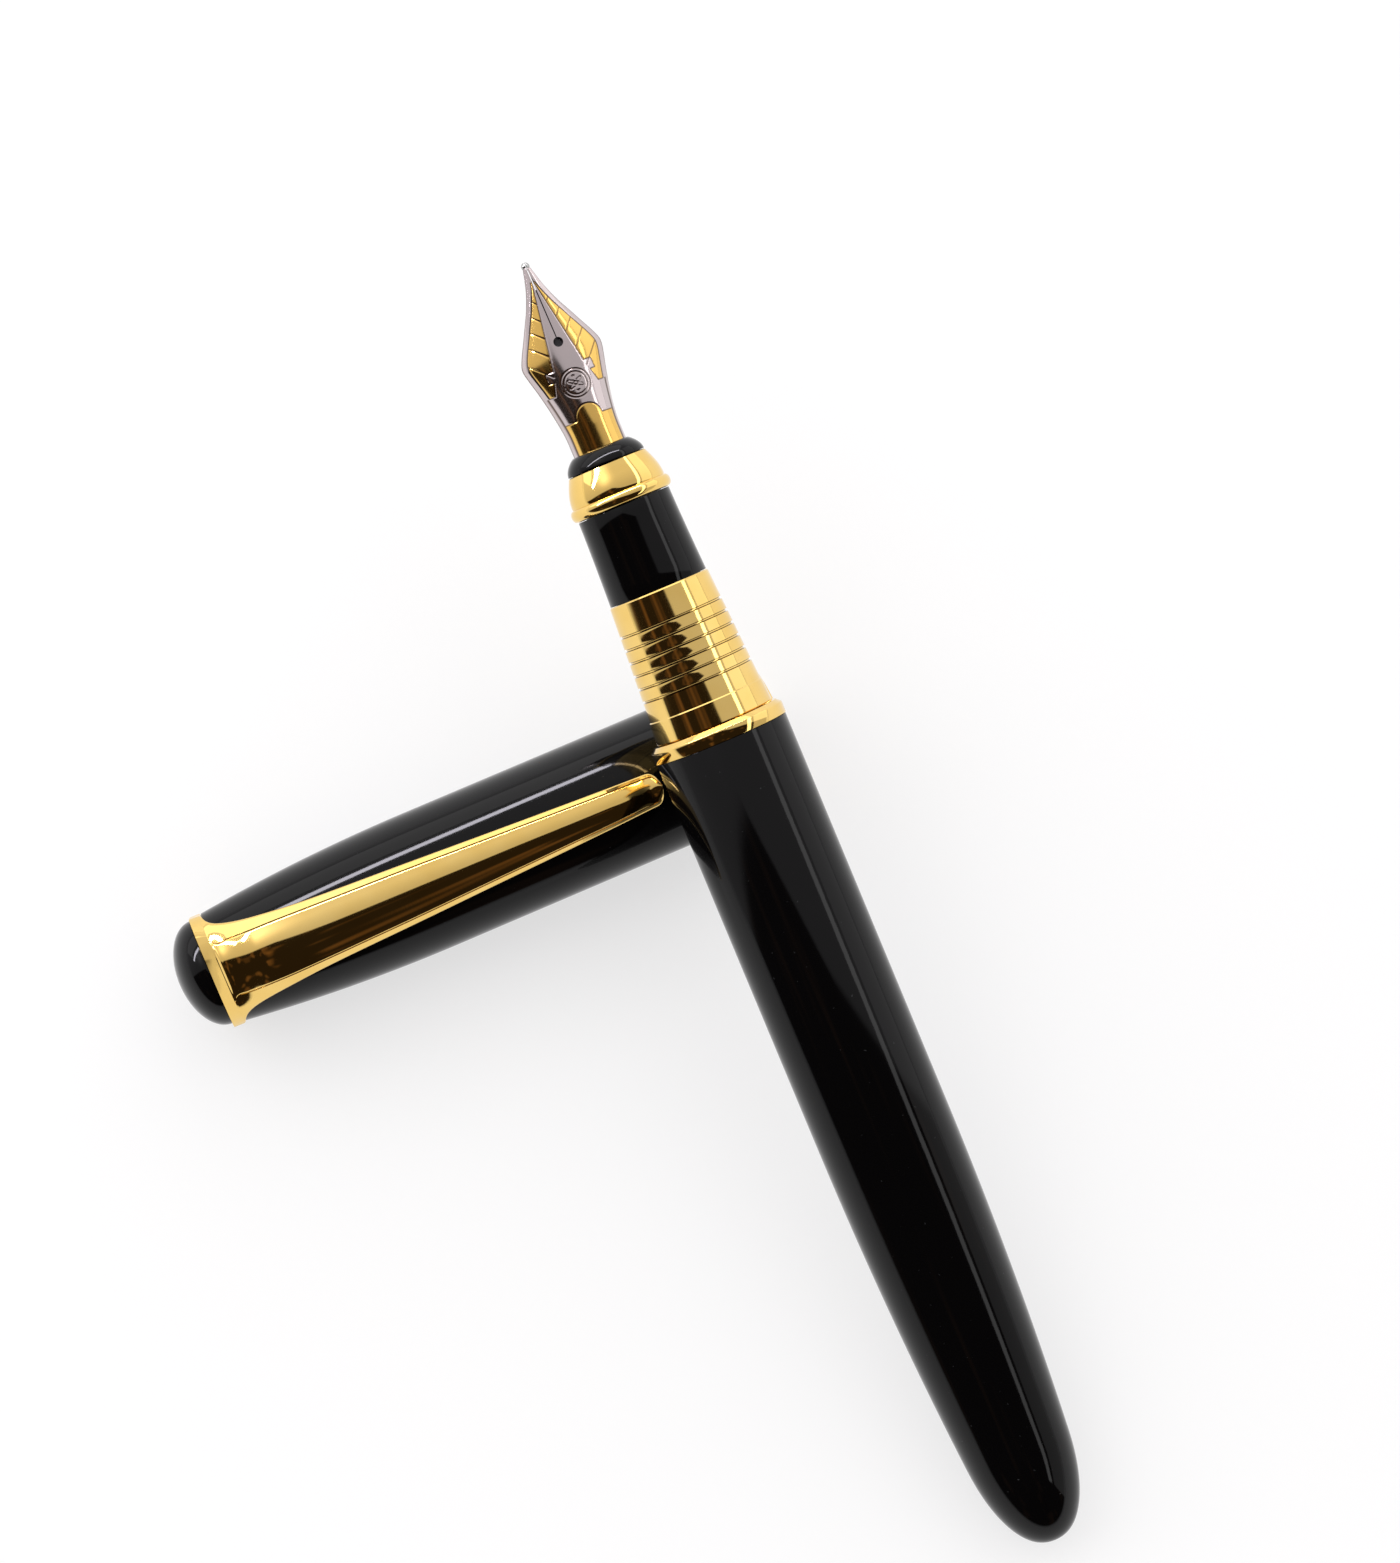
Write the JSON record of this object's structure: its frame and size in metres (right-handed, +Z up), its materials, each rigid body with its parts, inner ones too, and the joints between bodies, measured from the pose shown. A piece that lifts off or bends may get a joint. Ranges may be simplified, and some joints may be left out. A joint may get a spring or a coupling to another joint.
{
  "type": "fountain pen",
  "caption": "Metal fountain pen with a two-tone nib and a screw-piston ink converter, resting across its own clipped push-on cap.",
  "frame": {"origin": "centre of the bounding box in plan, on the surface that the cap and the tail rest on", "axes": "+X along the cap from finial to mouth, +Y in plan along the pen from tail to nib, +Z up"},
  "size_m": [0.0586, 0.1194, 0.0294],
  "materials": {
    "black_lacquer": "gloss",
    "gold_plate": "polished",
    "brass": "turned",
    "nib_steel": "polished",
    "tipping": "polished",
    "black_plastic": "gloss",
    "clear_plastic": "clear",
    "rubber": "matte"
  },
  "bodies": {
    "barrel": {"barrel_shell": "black_lacquer", "barrel_ring": "gold_plate", "barrel_thread_bush": "brass"},
    "section": {"front_trim": "gold_plate", "grip_section": "black_lacquer", "centre_band": "gold_plate", "section_core": "black_plastic"},
    "nib_unit": {"nib": "nib_steel", "nib_tipping_left": "tipping", "nib_tipping_right": "tipping", "feed": "black_plastic", "nib_housing": "black_plastic"},
    "converter": {"converter_tube": "clear_plastic", "converter_band": "gold_plate"},
    "converter_knob": {"converter_knob": "black_plastic"},
    "converter_piston": {"piston_rod": "black_plastic", "piston_seal": "rubber"},
    "cap": {"cap_tube": "black_lacquer", "cap_finial": "black_lacquer", "clip_ring": "gold_plate", "finial_nut": "brass", "cap_lip_ring": "gold_plate", "inner_cap": "black_plastic"},
    "clip": {"clip_strap": "gold_plate"}
  },
  "joints": [
    {"name": "section_unscrew", "type": "slide", "parent": "barrel", "child": "section", "axis": [0, 0.9784, 0.2068], "range_m": [0, 0.065]},
    {"name": "nib_unit_pull", "type": "slide", "parent": "section", "child": "nib_unit", "axis": [0, 0.9784, 0.2068], "range_m": [0, 0.022]},
    {"name": "converter_pull", "type": "slide", "parent": "section", "child": "converter", "axis": [0, -0.9784, -0.2068], "range_m": [0, 0.007]},
    {"name": "converter_knob_turn", "type": "hinge", "parent": "converter", "child": "converter_knob", "pos_m": [0.02278, -0.03316, 0.00878], "axis": [0, 0.9784, 0.2068], "range_deg": [0, 2880]},
    {"name": "piston_draw", "type": "slide", "parent": "converter", "child": "converter_piston", "axis": [0, -0.9784, -0.2068], "range_m": [0, 0.02]},
    {"name": "cap_pull", "type": "slide", "parent": "barrel", "child": "cap", "axis": [-1, 0, 0], "range_m": [0, 0.07]},
    {"name": "clip_flex", "type": "hinge", "parent": "cap", "child": "clip", "pos_m": [-0.02513, 0.01518, 0.01239], "axis": [0, -0.9781, -0.2079], "range_deg": [0, 2.5], "stiffness_Nm_per_rad": 0.6}
  ],
  "couplings": [
    {"joint": "converter_knob_turn", "follows": "piston_draw", "rad_per_m": 2513.3}
  ]
}
